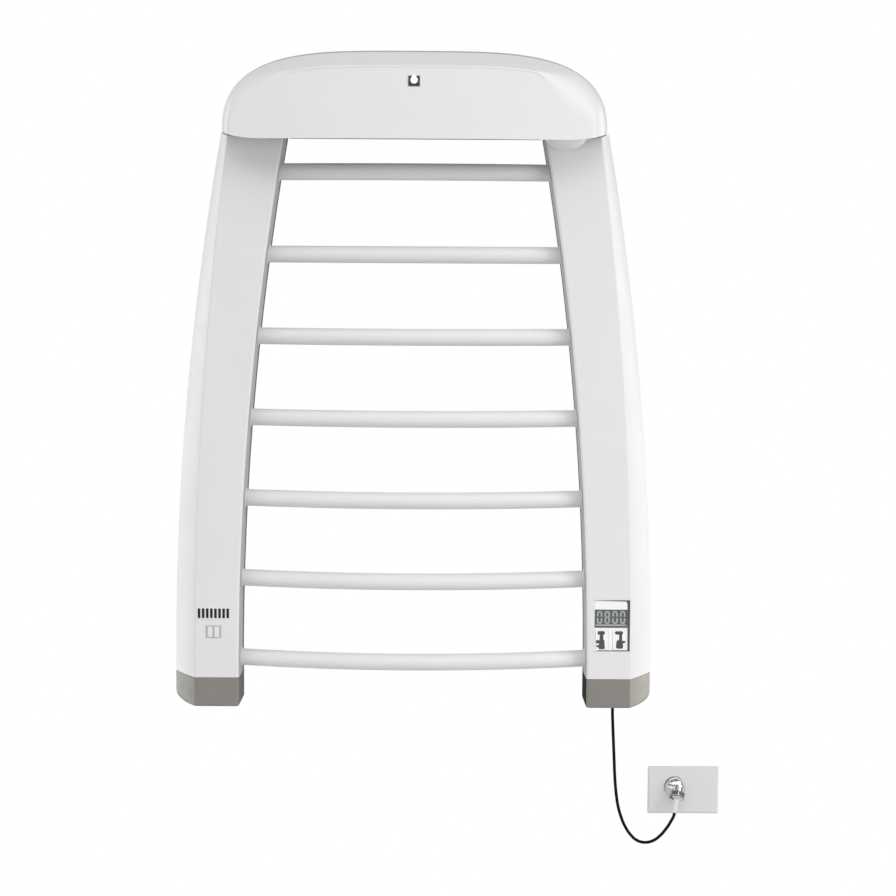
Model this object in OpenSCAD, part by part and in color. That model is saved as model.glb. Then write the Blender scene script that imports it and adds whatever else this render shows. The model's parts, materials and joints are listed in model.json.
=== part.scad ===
// Wall-hung electric heated towel rail: seven bowed bars between two bowed uprights,
// with a fan-heater hood across the top and a short supply cord to a wall outlet plate.
// X runs to the viewer's right, Y into the wall and Z up. The wall is the plane y = 0.
// The origin is the centre of the four wall holes, level with the middle bar.

/* [Bars] */
// Distance from one bar to the next
bar_pitch = 131; // [122:1:132]
// Outside diameter of a bar
bar_od = 27; // [22:0.5:30]
// Wall of the bar tube
bar_wall = 1.5; // [1:0.1:2]
// Bend radius of a bar, seen from above
bar_bend_r = 1000; // [900:10:1600]
// Depth of a bar's centre line where it enters the uprights
bar_end_depth = 62; // [58:1:64]
// Diameter of the heating rod inside a bar
rod_od = 8; // [6:0.5:10]

/* [Uprights] */
// Half width of the frame over the outer edges, at the feet
out_x = 390; // [380:1:400]
// Half width of the crease between the front face and the outer bevel, at the feet
crease_x = 352; // [346:1:356]
// Half width between the uprights' inner faces, at the feet
in_x = 280; // [276:0.5:283]
// Curve radius of the outer edge
out_r = 4850; // [4700:10:5200]
// Curve radius of the bevel crease
crease_r = 6650; // [6400:10:7000]
// Curve radius of the inner face
in_r = 5000; // [4900:10:5400]
// Depth of the uprights' front face
front_depth = 100; // [98:1:106]
// Depth at which the outer bevel ends
edge_depth = 40; // [38:1:50]
// Depth of the uprights' open back edges
back_depth = 24; // [24:1:26]
// How far the outer bevel bulges over a flat one
bulge = 4; // [0:0.5:6]
// How far the inner faces slope outwards from back to front
slope = 1; // [0.5:0.5:2]
// Thickness of the upright skins
skin = 2.5; // [2:0.1:3]

/* [Feet] */
// Height of the foot caps
foot_h = 48; // [40:1:56]
// Wall of the foot caps
foot_wall = 3; // [2:0.5:4]

/* [Hood] */
// Half width of the hood
hood_a = 304; // [302:1:308]
// Height of the hood's top edge
hood_top = 580; // [570:1:595]
// Height of the hood's lower front edge
hood_low = 440; // [438:1:442]
// Depth of the hood at the middle of its front
hood_depth = 185; // [180:1:195]
// Bow radius of the hood's front, seen from above
hood_bow_r = 2000; // [1900:50:3000]
// Wall of the hood
hood_wall = 2.5; // [2:0.1:3]

/* [Fixing] */
// Distance between the wall holes across
hole_span_x = 600; // [596:1:604]
// Distance between the wall holes up and down
hole_span_z = 650; // [640:1:660]
// Radius of a wall hole
hole_r = 3.25; // [2.75:0.25:3.5]

/* [Controls] */
// Width of the control panel
panel_w = 58; // [54:1:58]
// Height of the control panel
panel_h = 84; // [80:1:88]
// Travel of a push button
button_travel = 1.2; // [0.8:0.1:1.4]

/* [Outlet] */
// Width of the wall outlet plate
plate_w = 118; // [110:1:120]
// Height of the wall outlet plate
plate_h = 79; // [74:1:82]
// Thickness of the wall outlet plate
plate_t = 8; // [6:1:8]
// Diameter of the supply cord
cord_d = 5; // [4.5:0.5:5]

/* [Hidden] */

$fn = 64;
big_fn = 720;
eps = 0.01;
bar_count = 7;
bar_mid = 4;
seam_z = -420;
upright_top = 454;
upright_steps = 15;
nose_r = 4;
bevel_depth = (front_depth + edge_depth) / 2;
bevel_side = (front_depth - edge_depth) / norm([out_x - crease_x, front_depth - edge_depth]);
bevel_front = (out_x - crease_x) / norm([out_x - crease_x, front_depth - edge_depth]);
cover_t = 3.5;
rail_gap = 0.6;
rail_t = 4;
rail_depths = [40, 84];
rail_top = 520;
bar_run_in = 18;
bush_od = bar_od + 5;
hood_base = 456;
hood_back = 20;
hood_ends = 458;
hood_power = 3.95;
hood_shoulder = 2.36;
hood_steps = 40;
rim_side = 10;
rim_top = 29;
rim_depth = 60;
lip_start = 234;
pan_z = 447;
pan_t = 2;
panel_x = 321.5;
panel_z = -332.5;
panel_recess = 2.5;
sensor_x = -321.5;
sensor_z = -315;
sensor_w = 55;
sensor_h = 20;
badge_z = -345;
fan_x = 236;
fan_depth = 134.5;
duct_z = 461;
duct_h = 34;
grille_w = 300;
grille_d = 44;
grille_depth = 130;
screw_d = 5;
bracket_z = pan_z + pan_t + 0.1;
bracket_t = 2;
hood_bracket_z = 500;
hood_bracket_t = 3;
hood_bracket_back = hood_back + 4.2;
indicator_z = 529;
lens_r = 5.5;
lens_tab = 6.5;
panel_face = front_depth - panel_recess;
button_xs = [-15.8, 12.2];
button_z = -24.2;
button_size = [21, 31];
window_size = [52, 29];
window_at = [-1.4, 11.2];
cord_exit = [327, -65];
outlet_x = 452;
outlet_z = -628;
gland_at = [443, -16, -621];
gland_tilt = [-0.2, -0.62, -0.76];
dome_at = [438.5, -622];
dome_r = 16.3;
nut_start = 12.8;
nut_h = 7.2;
nut_end = 22.5;
sleeve_l = 25;

// The cord's centre line, from the gland in the foot to the nut on the outlet plate
cord_route = [[327, -65, -460], [327, -65, -472], [327.2, -65, -486], [328, -65, -504],
    [329, -65, -524], [330, -65, -544], [331, -65, -564], [332, -64.8, -584],
    [333.5, -64.4, -604], [335.5, -64, -622], [338.5, -63.4, -640], [343.2, -62.7, -656.5],
    [350, -62, -673], [359.2, -61.2, -687.5], [371, -60.2, -698.3], [384.2, -59.1, -702],
    [397.5, -58.3, -699.2], [409.2, -57.2, -691], [418.8, -55.2, -680.4], [427, -51.6, -669],
    [433.1, -46.7, -658.6], [434.4, -42.7, -653.7], [436.2, -37.1, -646.8],
    [439, -28.4, -636.2], [440.2, -24.7, -631.6]];

white = [0.93, 0.93, 0.94];
grey = [0.53, 0.52, 0.5];
steel = [0.72, 0.73, 0.75];
dark = [0.12, 0.12, 0.13];
chrome = [0.85, 0.86, 0.88];

// ---- Curves of the frame -------------------------------------------------------------

function bow(x0, r, z) = x0 - pow(max(0, z - seam_z), 2) / (2 * r);
function inner_x(z) = bow(in_x, in_r, z);
function outer_x(z) = bow(out_x, out_r, z);
function front_x(z) = bow(crease_x, crease_r, z);
function rail_face(z) = inner_x(z) + skin + slope + rail_gap + rail_t;
function bevel_x(z) = (front_x(z) + outer_x(z)) / 2;
function lean(z) = atan(max(0, z - seam_z) / in_r);
function bar_z(i) = (bar_mid - i) * bar_pitch;
function sag(x) = bar_bend_r - sqrt(bar_bend_r * bar_bend_r - x * x);
function bar_depth(i) = bar_end_depth + sag(inner_x(bar_z(i)));
function bar_end_angle(i) = asin(inner_x(bar_z(i)) / bar_bend_r);

// ---- Lofting -------------------------------------------------------------------------

// Skins through rings that each hold 2n points. Point k of a ring faces point 2n-1-k,
// so each end closes with a strip of quads, even where the ring is a C.
module loft(rings) {
    m = len(rings[0]);
    last = (len(rings) - 1) * m;
    sides = [for (r = [0:len(rings) - 2]) for (k = [0:m - 1])
        let (a = r * m + k, b = r * m + (k + 1) % m) each [[a, b, b + m], [a, b + m, a + m]]];
    caps = [for (k = [0:m / 2 - 2])
        let (a = k, b = k + 1, c = m - 2 - k, d = m - 1 - k)
            each [[a, c, b], [a, d, c],
                [last + a, last + b, last + c], [last + a, last + c, last + d]]];
    polyhedron(points = [for (r = rings) each r], faces = concat(sides, caps));
}

// The outer line of an upright's section, from the inner back corner to the outer one
function section_line(z, t) = [
    [inner_x(z) + t, back_depth - (t > 0 ? 1 : 0)],
    [inner_x(z) + slope + t, front_depth - nose_r],
    [inner_x(z) + slope + nose_r * 0.3 + t * 0.8, front_depth - nose_r * 0.3 - t * 0.8],
    [inner_x(z) + slope + nose_r, front_depth - t],
    [front_x(z) - t * 0.3, front_depth - t],
    [bevel_x(z) + (bulge - t) * bevel_side, bevel_depth + (bulge - t) * bevel_front],
    [outer_x(z) - t, edge_depth - t * 0.2],
    [outer_x(z) - t, back_depth - (t > 0 ? 1 : 0)]];
function at_z(line, z) = [for (p = line) [p[0], -p[1], z]];
function reverse(v) = [for (i = [len(v) - 1:-1:0]) v[i]];
function open_line(z, t) = [for (p = section_line(z, t)) [p[0], max(p[1], back_depth)]];
function upright_ring(z) =
    at_z(concat(open_line(z, 0), reverse(open_line(z, skin))), z);
function closed_ring(z, t, low, high) = at_z([[inner_x(z) + t, low], [inner_x(z) + t, high],
    [outer_x(z) - t, high], [outer_x(z) - t, low]], z);
function upright_z(i) = seam_z + (upright_top - seam_z) * i / upright_steps;

module mirrored(side) {
    if (side < 0) {
        mirror([1, 0, 0]) children();
    } else {
        children();
    }
}

// A cylinder along the bar's run where bar i meets an upright; s is the distance outwards
// from the upright's inner face, measured along the bar
module at_bar_end(i, s) {
    z = bar_z(i);
    translate([inner_x(z), -bar_end_depth, z]) rotate([0, 0, bar_end_angle(i)])
        translate([s, 0, 0]) rotate([0, 90, 0]) children();
}

// ---- Uprights ------------------------------------------------------------------------

module upright_body() {
    difference() {
        loft([for (i = [0:upright_steps]) upright_ring(upright_z(i))]);
        for (i = [1:bar_count]) {
            at_bar_end(i, -10) cylinder(d = bush_od + 0.2, h = 20);
        }
    }
}

module front_window(x, z, w, h) {
    translate([x - w / 2, -front_depth - 1, z - h / 2]) cube([w, skin + 2, h]);
}

module upright_left() {
    color(white) difference() {
        mirrored(-1) upright_body();
        front_window(sensor_x, sensor_z, sensor_w - 3, sensor_h - 3);
    }
}

module upright_right() {
    color(white) difference() {
        upright_body();
        front_window(panel_x, panel_z, panel_w, panel_h);
    }
}

module back_cover(side) {
    low = back_depth - cover_t - 0.5;
    color(white) mirrored(side) difference() {
        loft([for (i = [0:upright_steps])
            closed_ring(upright_z(i), 0.4, low, back_depth - 0.5)]);
        for (s = [-1, 1]) {
            at_bracket(s) translate([-1, -back_depth - 5, -28]) cube([rail_t + 2, 12, 56]);
        }
    }
}
module back_cover_left() { back_cover(-1); }
module back_cover_right() { back_cover(1); }

// The steel strip behind each inner face carries the bars, the hood and the brackets
module rail_strip() {
    span = asin((rail_top - seam_z) / in_r);
    foot = 40;
    x0 = rail_face(seam_z) - rail_t;
    translate([x0 - in_r, 0, seam_z]) rotate([90, 0, 0])
        rotate_extrude(angle = span, $fn = big_fn)
            translate([in_r, rail_depths[0]]) square([rail_t, rail_depths[1] - rail_depths[0]]);
    translate([x0, -rail_depths[1], seam_z - foot])
        cube([rail_t, rail_depths[1] - rail_depths[0], foot + eps]);
}

module frame_rail(side) {
    color(steel) mirrored(side) difference() {
        rail_strip();
        for (i = [1:bar_count]) {
            at_bar_end(i, -4) cylinder(d = bar_od + 0.6, h = 24);
        }
        at_bracket_screws() translate([0, 0, -10]) cylinder(d = screw_d + 0.4, h = 12);
        at_hood_bracket() translate([-10, -70, 0]) rotate([0, 90, 0])
            cylinder(d = screw_d + 0.4, h = 12);
    }
}
module frame_rail_left() { frame_rail(-1); }
module frame_rail_right() { frame_rail(1); }

module foot_cap(side) {
    line = [for (p = section_line(seam_z, 0))
        [p[0], -(p[1] > back_depth ? p[1] : back_depth - cover_t)]];
    hollow = [[in_x + foot_wall, -back_depth],
        [in_x + slope + foot_wall, foot_wall - front_depth],
        [crease_x - 1.5, foot_wall - front_depth],
        [out_x - foot_wall, -edge_depth + 1], [out_x - foot_wall, -back_depth]];
    color(grey) difference() {
        mirrored(side) difference() {
            translate([0, 0, seam_z - foot_h]) linear_extrude(height = foot_h - 0.6) polygon(line);
            translate([0, 0, seam_z - foot_h + foot_wall])
                linear_extrude(height = foot_h) polygon(hollow);
        }
        if (side > 0) {
            translate([cord_exit[0], cord_exit[1], seam_z - foot_h - 1]) cylinder(d = 12, h = 8);
        }
    }
}
module foot_cap_left() { foot_cap(-1); }
module foot_cap_right() { foot_cap(1); }

// ---- Bars ----------------------------------------------------------------------------

// An arc of the bars' bend that reaches x = from_x to to_x, with a round section
module bend(i, from_x, to_x, d) {
    a = asin(from_x / bar_bend_r);
    b = asin(to_x / bar_bend_r);
    translate([0, bar_bend_r - bar_depth(i), bar_z(i)]) rotate([0, 0, -90 + a])
        rotate_extrude(angle = b - a, $fn = big_fn)
            translate([bar_bend_r, 0]) circle(d = d, $fn = 48);
}

function bar_reach(i) = inner_x(bar_z(i)) + bar_run_in * cos(bar_end_angle(i));

module bar(i) {
    reach = bar_reach(i);
    color(white) difference() {
        bend(i, -reach, reach, bar_od);
        bend(i, -reach - 1, reach + 1, bar_od - 2 * bar_wall);
    }
}
module bar_1() { bar(1); }
module bar_2() { bar(2); }
module bar_3() { bar(3); }
module bar_4() { bar(4); }
module bar_5() { bar(5); }
module bar_6() { bar(6); }
module bar_7() { bar(7); }

// A slab along the inner face of an upright, from distance a to distance b behind it
module skin_slab(z, a, b) {
    turn = atan(slope / (front_depth - nose_r - back_depth));
    translate([inner_x(z), -back_depth, z]) rotate([0, -lean(z), 0]) rotate([0, 0, turn])
        translate([a, -front_depth + back_depth, -30])
            cube([b - a, front_depth - back_depth, 60]);
}

module bar_bushes() {
    color(white) for (i = [1:bar_count]) for (side = [-1, 1]) {
        mirrored(side) intersection() {
            skin_slab(bar_z(i), -1, skin + 0.1);
            at_bar_end(i, -12) difference() {
                cylinder(d = bush_od, h = 24);
                translate([0, 0, -1]) cylinder(d = bar_od + 0.4, h = 26);
            }
        }
    }
}

module bar_end_plugs() {
    color(dark) for (i = [1:bar_count]) for (side = [-1, 1]) {
        mirrored(side) at_bar_end(i, bar_run_in + 0.3) difference() {
            union() {
                cylinder(d = bar_od - 1, h = 2.5);
                translate([0, 0, -8]) cylinder(d = bar_od - 2 * bar_wall - 1, h = 9);
            }
            translate([0, 0, -9]) cylinder(d = rod_od + 0.6, h = 13);
        }
    }
}

module heater_rods() {
    color(steel) for (i = [1:bar_count]) {
        bend(i, 30 - inner_x(bar_z(i)), bar_reach(i) + 10, rod_od);
    }
}

// ---- Wall fixing ---------------------------------------------------------------------

// The outer face of the frame rail at height z, leaning as the rail does there
module at_rail(z) {
    translate([rail_face(z) + 0.1, 0, z]) rotate([0, -lean(z), 0])
        children();
}

module at_bracket(s) {
    at_rail(s * hole_span_z / 2) children();
}

// Where the two screws of each bracket pass through it and the rail, along X
module at_bracket_screws() {
    for (s = [-1, 1]) for (h = [-15, 15]) {
        at_bracket(s) translate([0, -56, h]) rotate([0, 90, 0]) children();
    }
}

module wall_bracket(s) {
    z = s * hole_span_z / 2;
    wide = hole_span_x / 2 + 16 - rail_face(z);
    difference() {
        at_bracket(s) union() {
            translate([0, -rail_depths[1] + 4, -25]) cube([rail_t, rail_depths[1] - 4, 50]);
            translate([0, -4, -25]) cube([wide, 4, 50]);
        }
        translate([hole_span_x / 2, 1, z]) rotate([90, 0, 0]) cylinder(r = hole_r, h = 6);
        at_bracket_screws() translate([0, 0, -1]) cylinder(d = screw_d + 0.4, h = rail_t + 2);
    }
}

module wall_brackets() {
    color(steel) for (side = [-1, 1]) for (s = [-1, 1]) {
        mirrored(side) wall_bracket(s);
    }
}

// A screw along +Z whose head sits on z = 0 and whose shank reaches down by l
module pan_screw(l) {
    translate([0, 0, -l]) cylinder(d = screw_d, h = l + 1);
    difference() {
        cylinder(d = screw_d * 2, h = 2.8);
        translate([0, 0, 1.4]) cylinder(d = 3, h = 2, $fn = 6);
    }
}
module frame_screws() {
    shank = 2 * rail_t + 1;
    color(steel) for (side = [-1, 1]) mirrored(side) {
        at_bracket_screws() translate([0, 0, rail_t + 0.1]) pan_screw(shank);
        at_hood_bracket() translate([hood_bracket_t + 0.1, -70, 0]) rotate([0, 90, 0])
            pan_screw(shank);
    }
}

// ---- Hood ----------------------------------------------------------------------------

function rise(u) = pow(1 - pow(min(1, abs(u)), hood_power), 1 / hood_shoulder);
function lip(x) = abs(x) <= lip_start ? hood_low
    : hood_base - (hood_base - hood_low)
        * sqrt(max(0, 1 - pow((abs(x) - lip_start) / (hood_a - lip_start), 2)));
// Stations crowd towards the ends, where the outline turns
function station(i) = -cos(180 * i / hood_steps);
function front_bow(x) = x * x / (2 * hood_bow_r);

// One ring of the hood: half width a, top height, depth at the middle and its bow.
// under = 0 follows the lower lip; any other value is a flat lower edge at that height.
function hood_ring(a, top, depth, bowed, under) =
    let (xs = [for (i = [0:hood_steps]) station(i)],
        y = [for (u = xs) -(depth - (bowed ? front_bow(u * a) : 0))])
    concat(
        [for (i = [0:hood_steps]) [xs[i] * a, y[i], hood_ends + (top - hood_ends) * rise(xs[i])]],
        [for (i = [hood_steps:-1:0]) [xs[i] * a, y[i], under == 0 ? lip(xs[i] * hood_a) : under]]);

module hood_block(t) {
    under = t == 0 ? 0 : hood_low - 12;
    loft([hood_ring(hood_a - t, hood_top - t, t == 0 ? hood_back : hood_back - 8, false, under),
        hood_ring(hood_a - t, hood_top - t, hood_depth - rim_depth, true, under),
        hood_ring(hood_a - rim_side - t, hood_top - rim_top - t, hood_depth - t, true, under)]);
}

module hood_shell() {
    color(white) difference() {
        hood_block(0);
        hood_block(hood_wall);
        translate([0, -hood_depth - 2, indicator_z]) rotate([-90, 0, 0])
            cylinder(r = lens_r + 1.3, h = 8);
        for (side = [-1, 1]) {
            mirrored(side) translate([hood_a - 12, -front_depth - 2, hood_low - 10])
                cube([24, front_depth, upright_top + 0.6 - hood_low + 10]);
        }
    }
}
function inside_top(u) = hood_ends + (hood_top - hood_wall - 0.5 - hood_ends) * rise(u);

module hood_back_panel() {
    a = hood_a - hood_wall - 0.5;
    bottom = pan_z + pan_t + 0.5;
    side = inner_x(upright_top) - 1.5;
    step = upright_top + 1;
    top = [for (i = [0:2:hood_steps]) [station(i) * a, inside_top(station(i))]];
    slot_n = 14;
    slot_step = 26;
    color(white) difference() {
        translate([0, -hood_back - 2, 0]) rotate([90, 0, 0]) linear_extrude(height = 2)
            polygon(concat([[-side, bottom], [-side, step], [-a, step]], top,
                [[a, step], [side, step], [side, bottom]]));
        for (k = [0:slot_n - 1]) for (z = [500, 520]) {
            translate([(k - (slot_n - 1) / 2) * slot_step - 8, -hood_back - 6, z])
                cube([16, 6, 8]);
        }
        for (side = [-1, 1]) {
            mirrored(side) at_hood_screws() translate([0, 0, -8]) cylinder(d = screw_d, h = 16);
        }
    }
}

function pan_front(x) = hood_depth - hood_wall - 0.6 - front_bow(x);

module hood_underpan() {
    side = inner_x(upright_top) - 1.5;
    far_back = hood_a - 24;
    far = far_back - 8;
    notch = front_depth + 3;
    arc = [for (i = [0:16]) let (x = far - 2 * far * i / 16) [x, -pan_front(x)]];
    shape = concat([[-side, -hood_back - 5], [side, -hood_back - 5], [side, -notch],
        [far_back, -notch]], arc, [[-far_back, -notch], [-side, -notch]]);
    color(white) difference() {
        translate([0, 0, pan_z]) linear_extrude(height = pan_t) polygon(shape);
        translate([-grille_w / 2, -grille_depth - grille_d / 2, pan_z - 1])
            cube([grille_w, grille_d, pan_t + 2]);
        translate([fan_x, -fan_depth, pan_z - 1]) cylinder(r = 25, h = pan_t + 2);
    }
}

module outlet_grille() {
    slot_n = 24;
    slot_step = 12;
    color(grey) difference() {
        translate([0, -grille_depth, 0]) union() {
            translate([-grille_w / 2 + 0.3, -grille_d / 2 + 0.3, pan_z - 0.5])
                cube([grille_w - 0.6, grille_d - 0.6, pan_t + 0.8]);
            translate([-grille_w / 2 - 4, -grille_d / 2 - 4, pan_z + pan_t + 0.1])
                cube([grille_w + 8, grille_d + 8, 1.5]);
        }
        for (k = [0:slot_n - 1]) {
            translate([(k - (slot_n - 1) / 2) * slot_step - 3.5, -grille_depth - 16, pan_z - 2])
                cube([7, 32, 8]);
        }
    }
}

module air_duct() {
    w = 340;
    d = 56;
    color(steel) difference() {
        translate([-w / 2, -grille_depth - d / 2, pan_z + 4])
            cube([w, d, duct_z + duct_h - pan_z - 4]);
        translate([-w / 2 + 1.5, 1.5 - grille_depth - d / 2, pan_z + 3])
            cube([w + 2, d - 3, duct_z + duct_h - pan_z - 4.5]);
    }
}

module fan_scroll() {
    r = 33;
    color(dark) translate([fan_x, -fan_depth, 0]) difference() {
        union() {
            translate([0, 0, duct_z]) cylinder(r = r, h = duct_h);
            translate([-fan_x + 172, -14, duct_z]) cube([fan_x - 172, 38, duct_h]);
        }
        translate([0, 0, duct_z + 1.5]) cylinder(r = r - 1.5, h = duct_h - 3);
        translate([-fan_x + 171, -12.5, duct_z + 1.5]) cube([fan_x - 172, 35, duct_h - 3]);
        translate([0, 0, duct_z - 1]) cylinder(r = 4, h = 5);
        translate([0, 0, duct_z + duct_h - 4]) cylinder(r = 20, h = 8);
    }
}

module fan_wheel() {
    blades = 20;
    r = 27;
    color(grey) translate([fan_x, -fan_depth, duct_z + 5]) difference() {
        union() {
            cylinder(r = r, h = 2);
            cylinder(r = 6, h = 12);
            for (k = [0:blades - 1]) {
                rotate([0, 0, 360 * k / blades]) translate([r - 8, -0.6, 1]) cube([7, 1.2, 23]);
            }
            translate([0, 0, 22]) difference() {
                cylinder(r = r, h = 2);
                translate([0, 0, -1]) cylinder(r = r - 8.5, h = 4);
            }
        }
        translate([0, 0, -1]) cylinder(r = 2, h = 14);
    }
}

module fan_shaft() {
    color(steel) translate([fan_x, -fan_depth, duct_z - 8]) cylinder(r = 2, h = 24);
}

module fan_motor() {
    low = 434;
    flange = bracket_z + bracket_t + 0.1;
    color(steel) translate([fan_x, -fan_depth, 0]) difference() {
        union() {
            translate([0, 0, low]) cylinder(r = 17, h = duct_z - 2 - low);
            translate([0, 0, flange]) cylinder(r = 23, h = 1.5);
        }
        translate([0, 0, duct_z - 8.5]) cylinder(r = 2.08, h = 10);
    }
}

module motor_bracket() {
    color(steel) translate([fan_x, -fan_depth, bracket_z]) difference() {
        cylinder(r = 31, h = bracket_t);
        translate([0, 0, -1]) cylinder(r = 17.3, h = bracket_t + 2);
    }
}

// The domed cover that the fan motor hangs in, below the hood's right end
module motor_cover() {
    r = 33;
    drop = 20;
    z0 = pan_z - 0.1;
    color(white) translate([fan_x, -fan_depth, z0]) rotate_extrude() difference() {
        intersection() {
            scale([1, drop / r]) circle(r = r);
            translate([0, -drop - 1]) square([r + 1, drop + 1]);
        }
        intersection() {
            scale([1, (drop - 2) / (r - 2)]) circle(r = r - 2);
            translate([-1, -drop]) square([r, drop + 1]);
        }
    }
}

module ptc_heater() {
    w = 90;
    fins = 14;
    color("peru") translate([60, -grille_depth - 22, pan_z + 14]) {
        cube([w, 44, 3]);
        translate([0, 0, 25]) cube([w, 44, 3]);
        for (k = [0:fins - 1]) {
            translate([1 + k * (w - 4) / (fins - 1), 0, 3]) cube([2, 44, 22]);
        }
    }
}

module thermal_cutout() {
    color(dark) translate([20, -grille_depth, duct_z + duct_h + 0.1]) {
        cylinder(d = 16, h = 5);
        translate([0, 0, 5]) cylinder(d = 11, h = 4);
    }
}

module at_hood_bracket() {
    at_rail(hood_bracket_z) children();
}

// Where the screws pass through the back panel into the bracket's flange, along +Y
module at_hood_screws() {
    for (h = [-7, 7]) {
        at_hood_bracket() translate([17, -hood_back - 1.9, h]) rotate([-90, 0, 0]) children();
    }
}

module hood_bracket() {
    difference() {
        at_hood_bracket() translate([0, 0, -14]) union() {
            translate([0, -rail_depths[1] + 2, 0])
                cube([hood_bracket_t, rail_depths[1] - 2 - hood_bracket_back, 28]);
            translate([0, -hood_bracket_back - hood_bracket_t, 0])
                cube([28, hood_bracket_t, 28]);
        }
        at_hood_bracket() translate([-1, -70, 0]) rotate([0, 90, 0])
            cylinder(d = screw_d + 0.4, h = 6);
        at_hood_screws() translate([0, 0, -8]) cylinder(d = 4.4, h = 7);
    }
}

module hood_brackets() {
    color(steel) for (side = [-1, 1]) {
        mirrored(side) hood_bracket();
    }
}

module hood_screws() {
    color(steel) for (side = [-1, 1]) {
        mirrored(side) at_hood_screws() {
            translate([0, 0, -7]) cylinder(d = 4, h = 8);
            cylinder(d = 8, h = 1.7);
        }
    }
}

// A frame open at the top, where the lens reaches its edge
module indicator_bezel() {
    w = 17.6;
    low = 9.5;
    high = 6.4;
    color(dark) translate([0, -hood_depth - 1, indicator_z]) difference() {
        union() {
            translate([-w / 2, 0, -low]) cube([w, 1, low + high]);
            rotate([-90, 0, 0]) cylinder(r = lens_r + 1.1, h = 6);
        }
        translate([0, -1, 0]) rotate([-90, 0, 0]) cylinder(r = lens_r + 0.1, h = 9);
        translate([-lens_tab / 2 - 0.1, -1, 0]) cube([lens_tab + 0.2, 2.3, high + 2]);
    }
}

module indicator_lens() {
    color("white") translate([0, -hood_depth - 1.2, indicator_z]) {
        rotate([-90, 0, 0]) cylinder(r = lens_r, h = 5);
        translate([-lens_tab / 2, 0, 0]) cube([lens_tab, 1.1, 6.3]);
    }
}

module indicator_board() {
    color("darkgreen") translate([-14, -hood_depth + 5.4, indicator_z - 9]) cube([28, 1.6, 18]);
}

// ---- Controls ------------------------------------------------------------------------

module panel_bezel() {
    color(white) translate([panel_x, -panel_face, panel_z]) difference() {
        translate([0.3 - panel_w / 2, 0, 0.3 - panel_h / 2])
            cube([panel_w - 0.6, 5, panel_h - 0.6]);
        translate([window_at[0] - window_size[0] / 2 - 0.3, -1,
            window_at[1] - window_size[1] / 2 - 0.3])
            cube([window_size[0] + 0.6, 8, window_size[1] + 0.6]);
        for (x = button_xs) {
            translate([x - button_size[0] / 2 - 0.35, -1, button_z - button_size[1] / 2 - 0.35])
                cube([button_size[0] + 0.7, 8, button_size[1] + 0.7]);
        }
    }
}

module display_window() {
    color([0.2, 0.21, 0.22, 0.6])
        translate([panel_x + window_at[0], -panel_face - 0.3, panel_z + window_at[1]])
        translate([-window_size[0] / 2, 0, -window_size[1] / 2])
            cube([window_size[0], 1.8, window_size[1]]);
}

module display_module() {
    color(dark) translate([panel_x + window_at[0], -panel_face + 2.2, panel_z + window_at[1]])
        translate([-24, 0, -13]) cube([48, 5, 26]);
}

module push_button(k) {
    color(white) translate([panel_x + button_xs[k], -panel_face - 1.3, panel_z + button_z]) {
        translate([-button_size[0] / 2, 0, -button_size[1] / 2])
            cube([button_size[0], 4.5, button_size[1]]);
        translate([0, 4.5, 0]) rotate([-90, 0, 0]) cylinder(r = 2.5, h = 3.2);
    }
}
module button_rail() { push_button(0); }
module button_fan() { push_button(1); }

// Plate behind the buttons, with a round guide for each stem
module button_guides() {
    color(grey) translate([panel_x, -panel_face + 5.2, panel_z + button_z]) difference() {
        translate([-26.5, 0, -15]) cube([52, 2, 28]);
        for (x = button_xs) {
            translate([x, -1, 0]) rotate([-90, 0, 0]) cylinder(r = 2.55, h = 4);
        }
    }
}

module control_board() {
    color("darkgreen") translate([panel_x - 27, -panel_face + 11, panel_z - 45])
        cube([54, 1.6, 90]);
}

module board_components() {
    color(dark) translate([panel_x, -panel_face + 12.7, panel_z]) {
        translate([-22, 0, 16]) cube([18, 15, 22]);
        translate([2, 0, 16]) cube([18, 15, 22]);
        translate([-20, 0, -20]) cube([24, 18, 26]);
        translate([14, 0, -16]) rotate([-90, 0, 0]) cylinder(d = 12, h = 18);
    }
    color(grey) for (x = button_xs) {
        translate([panel_x + x - 3, -panel_face + 7.9 + button_travel - 1, panel_z + button_z - 3])
            cube([6, 3 - button_travel + 1, 6]);
    }
}

module terminal_block() {
    color(dark) translate([300, -80, -440]) difference() {
        cube([46, 18, 16]);
        for (k = [0:3]) {
            translate([7 + k * 10.5, 9, -1]) cylinder(d = 4, h = 18);
        }
    }
}

// Arc of wires that follows the right upright from the board to the hood
module wiring_loom() {
    a0 = asin((-280 - seam_z) / in_r);
    a1 = asin((448 - seam_z) / in_r);
    color(dark) translate([in_x + 40 - in_r, 0, seam_z]) rotate([90, 0, 0])
        rotate([0, 0, a0]) rotate_extrude(angle = a1 - a0, $fn = big_fn)
            for (k = [0:2]) {
                translate([in_r + k * 3.4, 60]) circle(d = 3, $fn = 24);
            }
}

module sensor_grille() {
    slot_n = 8;
    slot_w = 4.2;
    slot_step = 6.6;
    slot_h = 15.6;
    color(grey) translate([sensor_x, -front_depth, sensor_z]) difference() {
        union() {
            translate([-sensor_w / 2, -0.8, -sensor_h / 2]) cube([sensor_w, 0.8, sensor_h]);
            translate([0.3 - sensor_w / 2 + 1.5, 0, 0.3 - sensor_h / 2 + 1.5])
                cube([sensor_w - 3.6, 3, sensor_h - 3.6]);
        }
        for (k = [0:slot_n - 1]) {
            translate([(k - (slot_n - 1) / 2) * slot_step - slot_w / 2, -2, -slot_h / 2])
                cube([slot_w, 6, slot_h]);
        }
    }
}

module air_sensor() {
    color(dark) translate([sensor_x, -front_depth + 8, sensor_z]) {
        translate([-27, 0, -10]) cube([54, 1.6, 20]);
        translate([0, -3, 0]) rotate([-90, 0, 0]) cylinder(d = 4, h = 3);
    }
}

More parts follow.
